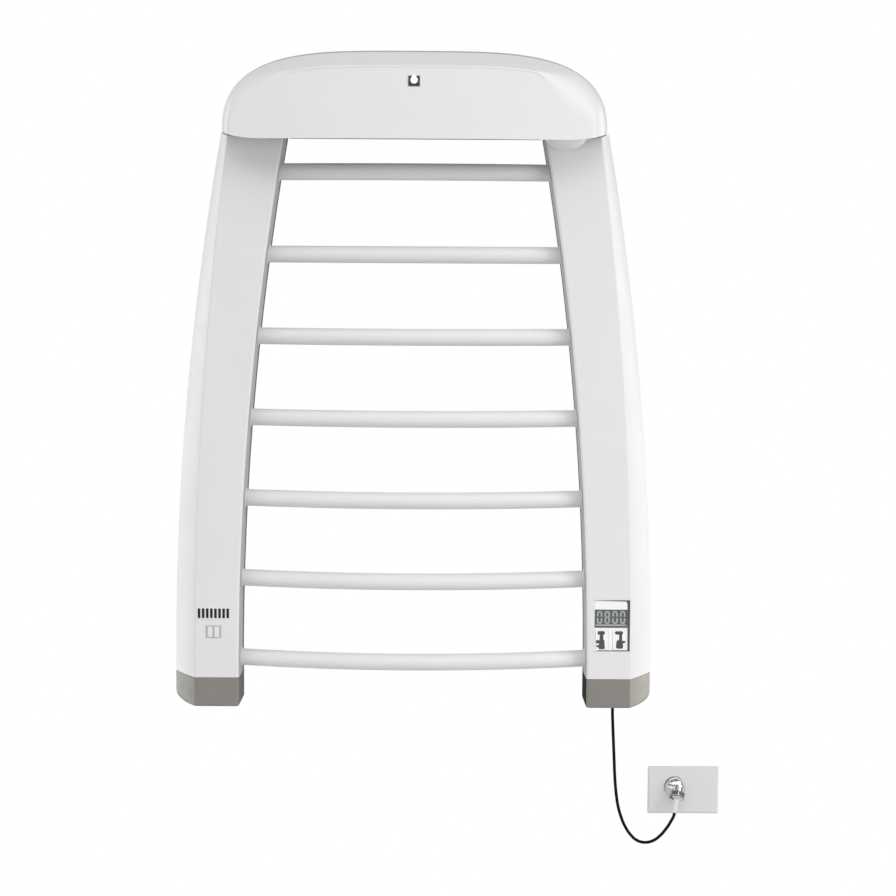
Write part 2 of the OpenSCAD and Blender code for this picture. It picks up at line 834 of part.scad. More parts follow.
module badge_plate() {
    w = 24.5;
    h = 20;
    rim = 2.6;
    field = (w - 3 * rim) / 2;
    color(steel) translate([sensor_x, -front_depth - 0.7, badge_z]) difference() {
        translate([-w / 2, 0, -h / 2]) cube([w, 0.7, h]);
        for (x = [rim - w / 2, rim / 2]) {
            translate([x, -1, 1.2 - h / 2]) cube([field, 1.3, h - 2.4]);
        }
    }
}

// ---- Supply cord and wall outlet -----------------------------------------------------

function unit(v) = v / norm(v);
// Direction of the route at point i
function heading(i) = unit(cord_route[min(i + 1, len(cord_route) - 1)] - cord_route[max(i - 1, 0)]);

module swept_cord(route, d, sides) {
    rings = [for (i = [0:len(route) - 1])
        let (t = heading(i), u = unit(cross(t, [0, 1, 0])), v = cross(t, u))
        [for (k = [0:sides - 1])
            route[i] + d / 2 * (cos((k + 0.5) * 360 / sides) * u
                + sin((k + 0.5) * 360 / sides) * v)]];
    loft(rings);
}

module power_cord() {
    color(dark) swept_cord(cord_route, cord_d, 8);
}

module cable_gland() {
    color(dark) translate([cord_exit[0], cord_exit[1], seam_z - foot_h]) difference() {
        union() {
            translate([0, 0, -4]) cylinder(r1 = 5.5, r2 = 8, h = 3.9);
            translate([0, 0, -0.2]) cylinder(d = 11.8, h = 14);
            translate([0, 0, foot_wall + 0.1]) cylinder(r = 9, h = 5);
        }
        translate([0, 0, -5]) cylinder(d = cord_d + 0.1, h = 30);
    }
}

module outlet_plate() {
    edge = 2;
    color(white) translate([outlet_x, 0, outlet_z]) union() {
        translate([-plate_w / 2, edge - plate_t, -plate_h / 2]) cube([plate_w, plate_t - edge, plate_h]);
        translate([edge - plate_w / 2, -plate_t, edge - plate_h / 2])
            cube([plate_w - 2 * edge, edge + eps, plate_h - 2 * edge]);
    }
}

// Turns the Z axis onto the direction that the outlet's elbow points in
module along_gland() {
    d = unit(gland_tilt);
    translate(gland_at) rotate([0, acos(d[2]), atan2(d[1], d[0])]) children();
}

module outlet_gland_body() {
    color(chrome) difference() {
        union() {
            translate([dome_at[0], -plate_t, dome_at[1]]) rotate([90, 0, 0])
                cylinder(r = dome_r + 0.7, h = 2);
            translate([dome_at[0], -plate_t - 0.2, dome_at[1]]) scale([1, 0.8, 1]) sphere(r = dome_r);
            along_gland() cylinder(r = 9, h = nut_start + 2);
        }
        translate([gland_at[0] - 30, -plate_t, gland_at[2] - 30]) cube([60, 30, 60]);
        along_gland() translate([0, 0, 6]) cylinder(d = cord_d + 2, h = 20);
    }
}

module outlet_gland_nut() {
    color(chrome) along_gland() difference() {
        union() {
            translate([0, 0, nut_start]) cylinder(d = 27, h = nut_h, $fn = 6);
            translate([0, 0, nut_start + nut_h - 0.1])
                cylinder(r1 = 10, r2 = 6, h = nut_end - nut_start - nut_h + 0.1);
        }
        translate([0, 0, nut_start - 1]) cylinder(r = 9.1, h = 3.1);
        translate([0, 0, nut_start]) cylinder(d = cord_d + 0.6, h = 14);
    }
}

// Tapered sleeve that keeps the cord from kinking where it leaves the nut
module outlet_sleeve() {
    color(white) along_gland() translate([0, 0, nut_end + 0.1]) difference() {
        cylinder(r1 = 5, r2 = 3.7, h = sleeve_l);
        translate([0, 0, -1]) cylinder(d = cord_d + 0.6, h = sleeve_l + 2);
    }
}

upright_left();
upright_right();
back_cover_left();
back_cover_right();
frame_rail_left();
frame_rail_right();
foot_cap_left();
foot_cap_right();
bar_1();
bar_2();
bar_3();
bar_4();
bar_5();
bar_6();
bar_7();
bar_bushes();
bar_end_plugs();
heater_rods();
wall_brackets();
frame_screws();
hood_shell();
hood_back_panel();
hood_underpan();
hood_brackets();
hood_screws();
outlet_grille();
air_duct();
fan_scroll();
fan_wheel();
fan_shaft();
fan_motor();
motor_bracket();
motor_cover();
ptc_heater();
thermal_cutout();
indicator_bezel();
indicator_lens();
indicator_board();
panel_bezel();
display_window();
display_module();
button_rail();
button_fan();
button_guides();
control_board();
board_components();
terminal_block();
wiring_loom();
sensor_grille();
air_sensor();
badge_plate();
cable_gland();
power_cord();
outlet_plate();
outlet_gland_body();
outlet_gland_nut();
outlet_sleeve();
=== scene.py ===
import json
import math

import bmesh
import bpy
from mathutils import Matrix, Vector


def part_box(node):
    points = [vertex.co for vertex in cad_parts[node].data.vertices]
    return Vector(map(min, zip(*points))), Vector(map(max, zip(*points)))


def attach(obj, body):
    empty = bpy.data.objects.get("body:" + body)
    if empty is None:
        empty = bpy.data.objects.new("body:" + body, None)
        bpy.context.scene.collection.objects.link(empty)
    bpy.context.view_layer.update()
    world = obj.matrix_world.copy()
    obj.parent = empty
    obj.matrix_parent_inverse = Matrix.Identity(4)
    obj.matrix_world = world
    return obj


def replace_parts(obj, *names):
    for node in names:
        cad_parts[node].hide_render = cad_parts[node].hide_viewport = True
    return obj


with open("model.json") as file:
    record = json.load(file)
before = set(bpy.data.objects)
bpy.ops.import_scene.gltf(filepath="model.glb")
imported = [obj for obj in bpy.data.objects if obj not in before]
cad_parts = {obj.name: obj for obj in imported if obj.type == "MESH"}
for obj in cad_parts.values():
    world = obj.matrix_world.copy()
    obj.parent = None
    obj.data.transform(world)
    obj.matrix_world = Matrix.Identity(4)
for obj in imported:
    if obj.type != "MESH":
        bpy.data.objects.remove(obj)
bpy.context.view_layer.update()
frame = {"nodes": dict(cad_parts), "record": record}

scene = bpy.context.scene
record = frame["record"]
nodes = frame["nodes"]
slot_of = {s["node"]: s["material_slot"] for s in record["subparts"]}
colour_of = {m["slot"]: m["base_color"][:3] for m in record["materials"]}
body_of = {n: b for b, ns in record["behaviour"]["bodies"].items() for n in ns}
MM = 0.001

# ---- Camera --------------------------------------------------------------------------

camera = bpy.data.objects.new("camera", bpy.data.cameras.new("camera"))
scene.collection.objects.link(camera)
camera.data.sensor_width = 36
camera.data.lens = 82.18
camera.location = (0.0450, -3.3571, 0.2717)
camera.rotation_euler = (math.radians(90 - 5.56), math.radians(-0.31), math.radians(-0.15))
scene.camera = camera

# ---- Materials -----------------------------------------------------------------------

# Finish of each slot: roughness, its spread, metalness, size of the colour mottling and of
# the bumps in metres, depth of the bumps in metres, and how far the colour wanders.
FINISHES = {
    "white_powder_coat": (0.42, 0.05, 0, 0.12, 0.0012, 0.000012, 0.010),
    "white_hood_plastic": (0.38, 0.05, 0, 0.15, 0.0009, 0.000007, 0.010),
    "white_back_plastic": (0.55, 0.06, 0, 0.10, 0.0008, 0.000020, 0.015),
    "white_bush_plastic": (0.50, 0.06, 0, 0.02, 0.0008, 0.000010, 0.020),
    "grey_foot_plastic": (0.44, 0.06, 0, 0.04, 0.0007, 0.000030, 0.035),
    "rail_steel": (0.38, 0.12, 1, 0.03, 0.0020, 0.000010, 0.080),
    "rod_steel": (0.42, 0.10, 1, 0.03, 0.0015, 0.000010, 0.060),
    "bracket_steel": (0.36, 0.12, 1, 0.02, 0.0020, 0.000010, 0.080),
    "screw_steel": (0.28, 0.10, 1, 0.01, 0.0010, 0.000006, 0.050),
    "duct_steel": (0.40, 0.14, 1, 0.02, 0.0030, 0.000010, 0.100),
    "shaft_steel": (0.25, 0.06, 1, 0.02, 0.0010, 0.000004, 0.040),
    "motor_steel": (0.35, 0.10, 1, 0.02, 0.0015, 0.000008, 0.060),
    "heater_aluminium": (0.45, 0.10, 1, 0.02, 0.0015, 0.000012, 0.070),
    "black_plug_rubber": (0.70, 0.08, 0, 0.02, 0.0008, 0.000030, 0.150),
    "dark_plastic": (0.55, 0.08, 0, 0.02, 0.0008, 0.000025, 0.120),
    "fan_plastic": (0.50, 0.08, 0, 0.02, 0.0008, 0.000015, 0.080),
    "grille_plastic": (0.50, 0.08, 0, 0.02, 0.0008, 0.000020, 0.050),
    "indicator_black": (0.25, 0.06, 0, 0.01, 0.0006, 0.000004, 0.080),
    "indicator_light": (0.30, 0.05, 0, 0.01, 0.0006, 0.000004, 0.010),
    "circuit_board": (0.45, 0.10, 0, 0.01, 0.0020, 0.000010, 0.250),
    "component_black": (0.50, 0.08, 0, 0.01, 0.0008, 0.000015, 0.150),
    "panel_white": (0.34, 0.05, 0, 0.03, 0.0007, 0.000004, 0.010),
    "display_glass": (0.12, 0.04, 0, 0.02, 0.0010, 0.000002, 0.080),
    "display_black": (0.40, 0.08, 0, 0.02, 0.0008, 0.000008, 0.100),
    "key_white": (0.36, 0.05, 0, 0.02, 0.0006, 0.000004, 0.010),
    "wire_black": (0.50, 0.10, 0, 0.01, 0.0010, 0.000015, 0.150),
    "badge_metal": (0.34, 0.08, 1, 0.01, 0.0005, 0.000006, 0.050),
    "gland_black": (0.60, 0.08, 0, 0.01, 0.0006, 0.000020, 0.120),
    "cord_black": (0.50, 0.05, 0, 0.03, 0.0010, 0.000003, 0.060),
    "outlet_plastic": (0.40, 0.06, 0, 0.04, 0.0008, 0.000008, 0.015),
    "chrome_gland": (0.08, 0.03, 1, 0.01, 0.0020, 0.000002, 0.015),
    "sleeve_white": (0.50, 0.06, 0, 0.01, 0.0008, 0.000010, 0.020),
}


def finish_material(name, colour, finish):
    """A procedural material: mottled colour, uneven roughness and a fine bump."""
    rough, spread, metal, mottle, grain, depth, wander = finish
    mat = bpy.data.materials.new(name)
    mat.use_nodes = True
    tree = mat.node_tree
    shader = tree.nodes["Principled BSDF"]
    shader.inputs["Metallic"].default_value = metal
    coords = tree.nodes.new("ShaderNodeTexCoord")

    def noise(size, detail, seed):
        node = tree.nodes.new("ShaderNodeTexNoise")
        node.noise_dimensions = "4D"
        node.inputs["W"].default_value = seed
        node.inputs["Scale"].default_value = 1 / size
        node.inputs["Detail"].default_value = detail
        tree.links.new(coords.outputs["Object"], node.inputs["Vector"])
        return node

    ramp = tree.nodes.new("ShaderNodeValToRGB")
    low = [c * (1 - wander) for c in colour]
    high = [min(1, c * (1 + wander)) for c in colour]
    ramp.color_ramp.elements[0].position = 0.3
    ramp.color_ramp.elements[1].position = 0.7
    ramp.color_ramp.elements[0].color = (*low, 1)
    ramp.color_ramp.elements[1].color = (*high, 1)
    tree.links.new(noise(mottle, 3, 1).outputs["Fac"], ramp.inputs["Fac"])
    tree.links.new(ramp.outputs["Color"], shader.inputs["Base Color"])
    gloss = tree.nodes.new("ShaderNodeMapRange")
    gloss.inputs["From Min"].default_value = 0.3
    gloss.inputs["From Max"].default_value = 0.7
    gloss.inputs["To Min"].default_value = max(0.02, rough - spread)
    gloss.inputs["To Max"].default_value = rough + spread
    tree.links.new(noise(mottle * 0.4, 4, 2).outputs["Fac"], gloss.inputs["Value"])
    tree.links.new(gloss.outputs["Result"], shader.inputs["Roughness"])
    bump = tree.nodes.new("ShaderNodeBump")
    bump.inputs["Strength"].default_value = 1
    bump.inputs["Distance"].default_value = depth
    tree.links.new(noise(grain, 2, 3).outputs["Fac"], bump.inputs["Height"])
    tree.links.new(bump.outputs["Normal"], shader.inputs["Normal"])
    return mat


# Slots whose tone isn't quite the record's
colour_of["outlet_plastic"] = [0.735, 0.735, 0.735]
colour_of["cord_black"] = [0.007, 0.007, 0.007]
colour_of["grey_foot_plastic"] = [
    c * k for c, k in zip(colour_of["grey_foot_plastic"], (0.945, 0.915, 0.890))
]
colour_of["panel_white"] = colour_of["key_white"] = [0.90, 0.90, 0.905]
materials = {s: finish_material(s, colour_of[s], f) for s, f in FINISHES.items()}


def set_shader(mat, **values):
    """Sets the shader's own inputs; coat_weight stands for the input Coat Weight."""
    shader = mat.node_tree.nodes["Principled BSDF"]
    names = {key.name.lower().replace(" ", "_"): key for key in shader.inputs}
    for key, value in values.items():
        names[key].default_value = value


PANEL_COAT = {"coat_weight": 0.4, "coat_roughness": 0.08}
set_shader(materials["grey_foot_plastic"], specular_ior_level=0.9)
set_shader(materials["cord_black"], specular_ior_level=0.06)
# The indicator glows as a lamp; the faint glow of the panel frame and keys is painted light
for slot, glow in (("indicator_light", 0.35), ("panel_white", 0.06), ("key_white", 0.06)):
    set_shader(materials[slot], emission_color=(1, 1, 1, 1), emission_strength=glow)
for slot in ("display_glass", "indicator_black", "panel_white", "key_white"):
    set_shader(materials[slot], **PANEL_COAT)

# Finishes of the prints and of the painted shade, shadow, highlight and reflection that have no slot
# of their own
INK = (0.55, 0.06, 0, 0.01, 0.0006, 0.000003, 0.12)
SHADE = (0.50, 0.05, 0, 0.12, 0.0012, 0.000012, 0.01)
FOOT_SHADE = (0.60, 0.06, 0, 0.03, 0.0007, 0.00003, 0.05)
BEVEL_PAINTED_HIGHLIGHT = 1.55

segment_light = finish_material(
    "display_segments", (0.40, 0.42, 0.41), (0.40, 0.05, 0, 0.01, 0.0006, 0.000003, 0.03)
)
# Dark ink of the display's printed border, also used for the panel's painted shadow line
frame_ink_and_shadow = finish_material(
    "display_frame", (0.10, 0.10, 0.105), (0.45, 0.06, 0, 0.01, 0.0006, 0.000003, 0.10)
)
pictogram_ink = finish_material("pictogram_ink", (0.075, 0.075, 0.08), INK)
enamel = finish_material(
    "badge_enamel", (0.82, 0.82, 0.82), (0.30, 0.05, 0, 0.01, 0.0006, 0.000003, 0.01)
)
# Painted dark reflections for the nut's chamfers and side facets
chrome_shade = finish_material(
    "chrome_shade", (0.16, 0.16, 0.155), (0.25, 0.05, 1, 0.01, 0.002, 0.000002, 0.05)
)
# Painted shade: a darker grey for the hood's top where it rounds over
top_shade_grey = finish_material(
    "hood_seam", (0.50, 0.50, 0.50), (0.45, 0.05, 0, 0.05, 0.0008, 0.000006, 0.02)
)
# Painted shade: the underpan is dark grey so less light bounces onto the bars and uprights under the
# hood
pan_painted_shade = finish_material(
    "underpan_grey", (0.22, 0.22, 0.22), (0.55, 0.05, 0, 0.12, 0.0012, 0.000012, 0.02)
)
# Painted shade on the uprights' inner faces, darkest on their rear strip
edge_shade = finish_material("upright_edge", (0.15, 0.15, 0.15), SHADE)
inner_painted_shade = finish_material("upright_inside", (0.46, 0.46, 0.46), SHADE)
# Painted highlight: a lighter copy of the foot's grey for the right foot's outer bevel
foot_painted_highlight = finish_material(
    "foot_bevel", [c * BEVEL_PAINTED_HIGHLIGHT for c in colour_of["grey_foot_plastic"]],
    FINISHES["grey_foot_plastic"],
)
# Painted shade on the feet's inner faces, darker on the right foot than on the left
foot_shade = {
    1: finish_material("foot_inside_right", (0.045, 0.041, 0.039), FOOT_SHADE),
    -1: finish_material("foot_inside_left", (0.130, 0.120, 0.112), FOOT_SHADE),
}
for mat in (edge_shade, inner_painted_shade, foot_shade[1]):
    set_shader(mat, specular_ior_level=0)

# ---- Mesh helpers --------------------------------------------------------------------


def add_piece(name, mesh, body, slot=None, material=None, angle=35):
    """Puts mesh in the scene as a smooth-shaded piece that rides on body."""
    piece = bpy.data.objects.new(name, mesh)
    scene.collection.objects.link(piece)
    mesh.materials.clear()
    mesh.materials.append(material or materials[slot])
    mesh.shade_smooth()
    mesh.set_sharp_from_angle(angle=math.radians(angle))
    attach(piece, body)
    return piece


def grid_mesh(name, rows, closed=False, capped=False, outward=None):
    """A mesh through rows of points, each row as long as the next. outward is a point
    and a direction: the face nearest the point is turned to look that way."""
    width = len(rows[0])
    across = width if closed else width - 1
    faces = []
    for i in range(0, (len(rows) - 1) * width, width):
        for j in range(across):
            k = (j + 1) % width
            faces.append((i + j, i + k, i + width + k, i + width + j))
    mesh = bpy.data.meshes.new(name)
    points = [p for row in rows for p in row]
    if capped:
        last = (len(rows) - 1) * width
        faces.append(tuple(range(width - 1, -1, -1)))
        faces.append(tuple(range(last, last + width)))
    mesh.from_pydata(points, [], faces)
    bm = bmesh.new()
    bm.from_mesh(mesh)
    bmesh.ops.remove_doubles(bm, verts=bm.verts, dist=1e-6)
    bmesh.ops.recalc_face_normals(bm, faces=bm.faces)
    if outward:
        place, direction = Vector(outward[0]), Vector(outward[1])
        nearest = min(bm.faces, key=lambda f: (f.calc_center_median() - place).length)
        if nearest.normal.dot(direction) < 0:
            bmesh.ops.reverse_faces(bm, faces=bm.faces)
    bm.to_mesh(mesh)
    bm.free()
    return mesh


def add_modifier(piece, kind, **settings):
    modifier = piece.modifiers.new(kind.lower(), kind)
    for key, value in settings.items():
        setattr(modifier, key, value)
    return modifier


def soften(piece, width, segments=2, angle=40):
    """Rounds the piece's sharp edges."""
    add_modifier(
        piece, "BEVEL", width=width, segments=segments, limit_method="ANGLE",
        angle_limit=math.radians(angle), miter_outer="MITER_ARC", harden_normals=False,
    )
    add_modifier(piece, "WEIGHTED_NORMAL", keep_sharp=True, weight=50)


def cut(piece, cutters):
    """Cuts closed meshes out of the piece, which keeps the rest of its modifiers."""
    joined = bmesh.new()
    for cutter in cutters:
        joined.from_mesh(cutter)
    mesh = bpy.data.meshes.new("cutter")
    joined.to_mesh(mesh)
    joined.free()
    tool = bpy.data.objects.new("cutter", mesh)
    scene.collection.objects.link(tool)
    add_modifier(piece, "BOOLEAN", operation="DIFFERENCE", solver="EXACT", object=tool)
    bpy.context.view_layer.update()
    made = piece.evaluated_get(bpy.context.evaluated_depsgraph_get())
    result = bpy.data.meshes.new_from_object(made)
    piece.modifiers.clear()
    piece.data = result
    bpy.data.objects.remove(tool)


def box_mesh(low, high):
    mesh = bpy.data.meshes.new("box")
    bm = bmesh.new()
    bmesh.ops.create_cube(bm, size=1)
    for v in bm.verts:
        v.co = [lo + (hi - lo) * (c + 0.5) for lo, hi, c in zip(low, high, v.co)]
    bm.to_mesh(mesh)
    bm.free()
    return mesh


def rod_mesh(start, direction, radius, length, sides=48):
    """A closed round rod from start along direction."""
    mesh = bpy.data.meshes.new("rod")
    bm = bmesh.new()
    bmesh.ops.create_cone(
        bm, cap_ends=True, segments=sides, radius1=radius, radius2=radius, depth=length
    )
    turn = Vector(direction).to_track_quat("Z", "Y").to_matrix().to_4x4()
    middle = Vector(start) + Vector(direction).normalized() * length / 2
    bm.transform(Matrix.Translation(middle) @ turn)
    bm.to_mesh(mesh)
    bm.free()
    return mesh


def refine(node, width, segments=2, material=None):
    """A copy of a CAD node with its edges rounded, which stands for the node."""
    mesh = nodes[node].data.copy()
    bm = bmesh.new()
    bm.from_mesh(mesh)
    bmesh.ops.remove_doubles(bm, verts=bm.verts, dist=2e-6)
    bmesh.ops.dissolve_limit(
        bm, angle_limit=math.radians(0.5), verts=bm.verts, edges=bm.edges
    )
    bm.to_mesh(mesh)
    bm.free()
    for layer in [a for a in mesh.attributes if a.name == "custom_normal"]:
        mesh.attributes.remove(layer)
    piece = add_piece(node + "_soft", mesh, body_of[node], slot_of[node], material, angle=40)
    soften(piece, width, segments)
    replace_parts(piece, node)


def fillet(points, radii, steps=6):
    """A 2D line whose inner corners are rounded, one radius per corner."""
    line = [Vector(points[0])]
    for a, b, c, radius in zip(points, points[1:], points[2:], radii):
        a, b, c = Vector(a), Vector(b), Vector(c)
        u, v = (a - b).normalized(), (c - b).normalized()
        half = u.angle(v) / 2
        start = u * (radius / math.tan(half)) - (u + v).normalized() * (radius / math.sin(half))
        centre = b + (u + v).normalized() * (radius / math.sin(half))
        turn = math.pi - 2 * half
        if u.x * v.y - u.y * v.x > 0:
            turn = -turn
        for k in range(steps + 1):
            angle = turn * k / steps
            line.append(centre + Vector((
                start.x * math.cos(angle) - start.y * math.sin(angle),
                start.x * math.sin(angle) + start.y * math.cos(angle),
            )))
    line.append(Vector(points[-1]))
    return line


def lerp(a, b, t):
    return a + (b - a) * t


def circle(radius, count, height=0):
    """Points on a circle about Z at a height."""
    angles = [2 * math.pi * k / count for k in range(count)]
    return [Vector((radius * math.cos(a), radius * math.sin(a), height)) for a in angles]


# ---- Supply cord ---------------------------------------------------------------------

# The cord's middle line, from the gland under the right foot to the elbow's nut
ROUTE = [
    (0.3270, -0.0650, -0.4600), (0.3270, -0.0650, -0.4720), (0.3272, -0.0650, -0.4860),
    (0.3280, -0.0650, -0.5040), (0.3290, -0.0650, -0.5240), (0.3300, -0.0650, -0.5440),
    (0.3310, -0.0650, -0.5640), (0.3320, -0.0648, -0.5840), (0.3335, -0.0644, -0.6040),
    (0.3355, -0.0640, -0.6220), (0.3385, -0.0634, -0.6400), (0.3432, -0.0627, -0.6565),
    (0.3500, -0.0620, -0.6730), (0.3592, -0.0612, -0.6875), (0.3710, -0.0602, -0.6983),
    (0.3842, -0.0591, -0.7020), (0.3975, -0.0583, -0.6992), (0.4092, -0.0572, -0.6910),
    (0.4188, -0.0552, -0.6804), (0.4270, -0.0516, -0.6690), (0.4331, -0.0467, -0.6586),
    (0.4344, -0.0427, -0.6537), (0.4362, -0.0371, -0.6468), (0.4390, -0.0284, -0.6362),
    (0.4402, -0.0247, -0.6316),
]
CORD_D = 0.005

curve = bpy.data.curves.new("supply_cord", "CURVE")
curve.dimensions = "3D"
curve.bevel_depth = CORD_D / 2
curve.bevel_resolution = 6
curve.resolution_u = 6
curve.use_fill_caps = True
spline = curve.splines.new("BEZIER")
spline.bezier_points.add(len(ROUTE) - 1)
for point, place in zip(spline.bezier_points, ROUTE):
    point.co = place
    point.handle_left_type = point.handle_right_type = "AUTO"
curve.materials.append(materials["cord_black"])
supply_cord = bpy.data.objects.new("supply_cord", curve)
scene.collection.objects.link(supply_cord)
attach(supply_cord, "frame")
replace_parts(supply_cord, "power_cord")

# ---- Uprights and feet ---------------------------------------------------------------


def level(node, z):
    """The outer line of a CAD node's section at height z: |x| and depth of its corners."""
    points = [(abs(v.co.x), -v.co.y) for v in nodes[node].data.vertices if abs(v.co.z - z) < 2e-5]
    front = max(d for x, d in points)
    face = [x for x, d in points if d > front - 1e-5]
    outer = max(x for x, d in points)
    return {
        "inner": min(x for x, d in points),
        "nose": min(face),
        "crease": max(face),
        "outer": outer,
        "front": front,
        "edge": max(d for x, d in points if x > outer - 1e-5),
        "back": min(d for x, d in points),
    }


BULGE = 0.0022
NOSE_R = 0.004


def section(at):
    """The rounded outer line of an upright's section, from its inner to its outer back edge.
    A point on the inner face parts its rear strip of darker painted shade from the rest."""
    crease, edge = Vector((at["crease"], at["front"])), Vector((at["outer"], at["edge"]))
    along = edge - crease
    push = Vector((-along.y, along.x)).normalized() * 2 * BULGE
    handle = (crease + edge) / 2 + push
    bevel = [
        crease * (1 - t) ** 2 + handle * 2 * t * (1 - t) + edge * t * t
        for t in [k / 12 for k in range(13)]
    ]
    head = fillet(
        [(at["inner"], at["back"]), (at["nose"] - NOSE_R, at["front"]), bevel[0], bevel[1]],
        [0.0048, 0.0035],
    )
    head.insert(1, Vector(head[0]).lerp(Vector(head[1]), 0.24))
    tail = fillet([bevel[-2], bevel[-1], (at["outer"], at["back"])], [0.004])
    return head[:-1] + bevel[1:-1] + tail[1:]


BARS = range(1, 8)


def bend_of(node):
    """Bend radius, tube radius, reach angle and depth of the middle of a CAD bar."""
    low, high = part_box(node)
    tube = (high.z - low.z) / 2
    reach, sag = high.x, high.y - low.y
    small, large = 0.5, 3.0
    for _ in range(60):
        bend = (small + large) / 2
        angle = math.asin(min(1, reach / (bend + tube)))
        if (bend + tube) - (bend - tube) * math.cos(angle) > sag:
            small = bend
        else:
            large = bend
    return bend, tube, angle, -low.y - tube


COLLAR_INSET = 0.14
SHADE_DEPTH = 0.017
SHELL_WALL = 0.0025


def upright(side, node, name):
    """An upright's shell, with a collar that reaches into the hood and painted shade on its inner
    face, darkest on a rear strip.
    """
    low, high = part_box(node)
    foot, head = level(node, low.z), level(node, high.z)
    rows = []
    for i in range(57):
        t = i / 56
        at = {k: lerp(foot[k], head[k], t * t) for k in foot}
        rows.append([(side * p.x, -p.y, lerp(low.z, high.z + 0.0015, t)) for p in section(at)])
    middle = Vector(((head["inner"] + head["outer"]) / 2, head["front"] / 2))
    for lift in (0.0017, 0.0095):
        collar = [p.lerp(middle, COLLAR_INSET) for p in section(head)]
        rows.append([(side * p.x, -p.y, high.z + lift) for p in collar])
    face_x = side * (foot["crease"] + foot["nose"]) / 2
    mesh = grid_mesh(name, rows, outward=((face_x, -foot["front"], low.z), (0, -1, 0)))
    piece = add_piece(name, mesh, "frame", "white_powder_coat")
    add_modifier(piece, "SOLIDIFY", thickness=SHELL_WALL, offset=-1, use_even_offset=True)
    cutters = []
    bush_r = (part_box("bar_bushes")[1].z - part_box("bar_1")[1].z) + bend_of("bar_1")[1] + 0.0001
    for i in BARS:
        bend, _, _, depth = bend_of(f"bar_{i}")
        z = (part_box(f"bar_{i}")[0].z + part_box(f"bar_{i}")[1].z) / 2
        t = (z - low.z) / (high.z - low.z)
        x = lerp(foot["inner"], head["inner"], t * t)
        sweep = math.asin(x / bend)
        place = (side * x, bend * (1 - math.cos(sweep)) - depth, z)
        away = Vector((side * math.cos(sweep), math.sin(sweep), 0))
        cutters.append(rod_mesh(Vector(place) - away * 0.01, away, bush_r, 0.02))
    if side > 0:
        a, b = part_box("panel_bezel")
        grow = 0.0003
    else:
        a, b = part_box("sensor_grille")
        grow = -0.0015
    cutters.append(box_mesh(
        (a.x - grow, -foot["front"] - 0.002, a.z - grow),
        (b.x + grow, -foot["front"] + 0.006, b.z + grow),
    ))
    cut(piece, cutters)
    piece.data.shade_smooth()
    piece.data.set_sharp_from_angle(angle=math.radians(35))
    piece.data.materials.append(inner_painted_shade)
    piece.data.materials.append(edge_shade)
    # Inner faces get painted shade, darker on the rear strip
    for face in piece.data.polygons:
        if face.normal.x * side < -0.9:
            face.material_index = 2 if -face.center.y < foot["back"] + SHADE_DEPTH else 1
    soften(piece, 0.0004, 2, 50)
    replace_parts(piece, node)


upright(1, "upright_right", "upright_right_shell")
upright(-1, "upright_left", "upright_left_shell")


def foot_cap(side, node, name):
    """A foot whose lower edge is rounded, and most of all under the outer bevel. Its inner face
    carries painted shade, and the right foot's outer bevel a painted highlight.
    """
    low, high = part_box(node)
    at = level(node, high.z)
    line = section(at)
    centre = Vector(((at["inner"] + at["outer"]) / 2, (at["front"] + at["back"]) / 2))
    half = Vector(((at["outer"] - at["inner"]) / 2, (at["front"] - at["back"]) / 2))
    rows = []
    for k in range(11):
        turn = math.pi / 2 * k / 10
        row = []
        for p in line:
            out = min(1, max(0, (p.x - at["crease"]) / (at["outer"] - at["crease"])))
            reach = 0.0035 + 0.012 * out * out
            inset, lift = reach * (1 - math.sin(turn)), reach * (1 - math.cos(turn))
            shrink = Vector((1 - inset / half.x, 1 - inset / half.y))
            row.append((
                side * (centre.x + (p.x - centre.x) * shrink.x),
                -(centre.y + (p.y - centre.y) * shrink.y), low.z + lift,
            ))
        rows.append(row)
    rows.append([(side * p.x, -p.y, high.z) for p in line])
    mesh = grid_mesh(name, rows, closed=True, capped=True)
    piece = add_piece(name, mesh, "frame", "grey_foot_plastic")
    mesh.materials.append(foot_shade[side])
    mesh.materials.append(foot_painted_highlight if side > 0 else materials["grey_foot_plastic"])
    # Inner faces get painted shade; the right foot's outer bevel gets a painted highlight
    for face in mesh.polygons:
        if face.normal.x * side < -0.9:
            face.material_index = 1
        elif face.normal.x * side > 0.4:
            face.material_index = 2
    soften(piece, 0.0006, 2, 50)
    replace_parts(piece, node)


foot_cap(1, "foot_cap_right", "foot_right_shell")
foot_cap(-1, "foot_cap_left", "foot_left_shell")

# ---- Bars ----------------------------------------------------------------------------


def bar(node):
    """A bowed tube in place of a CAD bar."""
    low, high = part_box(node)
    z = (low.z + high.z) / 2
    bend, tube, reach, depth = bend_of(node)
    rows = []
    for k in range(73):
        angle = lerp(-reach, reach, k / 72)
        out = Vector((math.sin(angle), -math.cos(angle), 0))
        centre = Vector((bend * math.sin(angle), bend * (1 - math.cos(angle)) - depth, z))
        rows.append([centre + out * p.x + Vector((0, 0, p.y)) for p in circle(tube, 48)])
    mesh = grid_mesh(node + "_tube", rows, closed=True, capped=True)
    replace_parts(add_piece(node + "_tube", mesh, "frame", "white_powder_coat"), node)


for i in BARS:
    bar(f"bar_{i}")

# ---- Hood ----------------------------------------------------------------------------

# Outline of the hood: how it rounds off, the height of its ends, and where its lip turns
HOOD_POWER = 3.95
HOOD_SHOULDER = 2.36
HOOD_ENDS = 0.458
HOOD_BASE = 0.456
LIP_START = 0.234
GROOVE_HALF = 0.2
HOOD_RIM = 0.010


def rise(u):
    """Height of the hood's outline over its ends, from 0 to 1, at u from -1 to 1."""
    return max(0, 1 - min(1, abs(u)) ** HOOD_POWER) ** (1 / HOOD_SHOULDER)


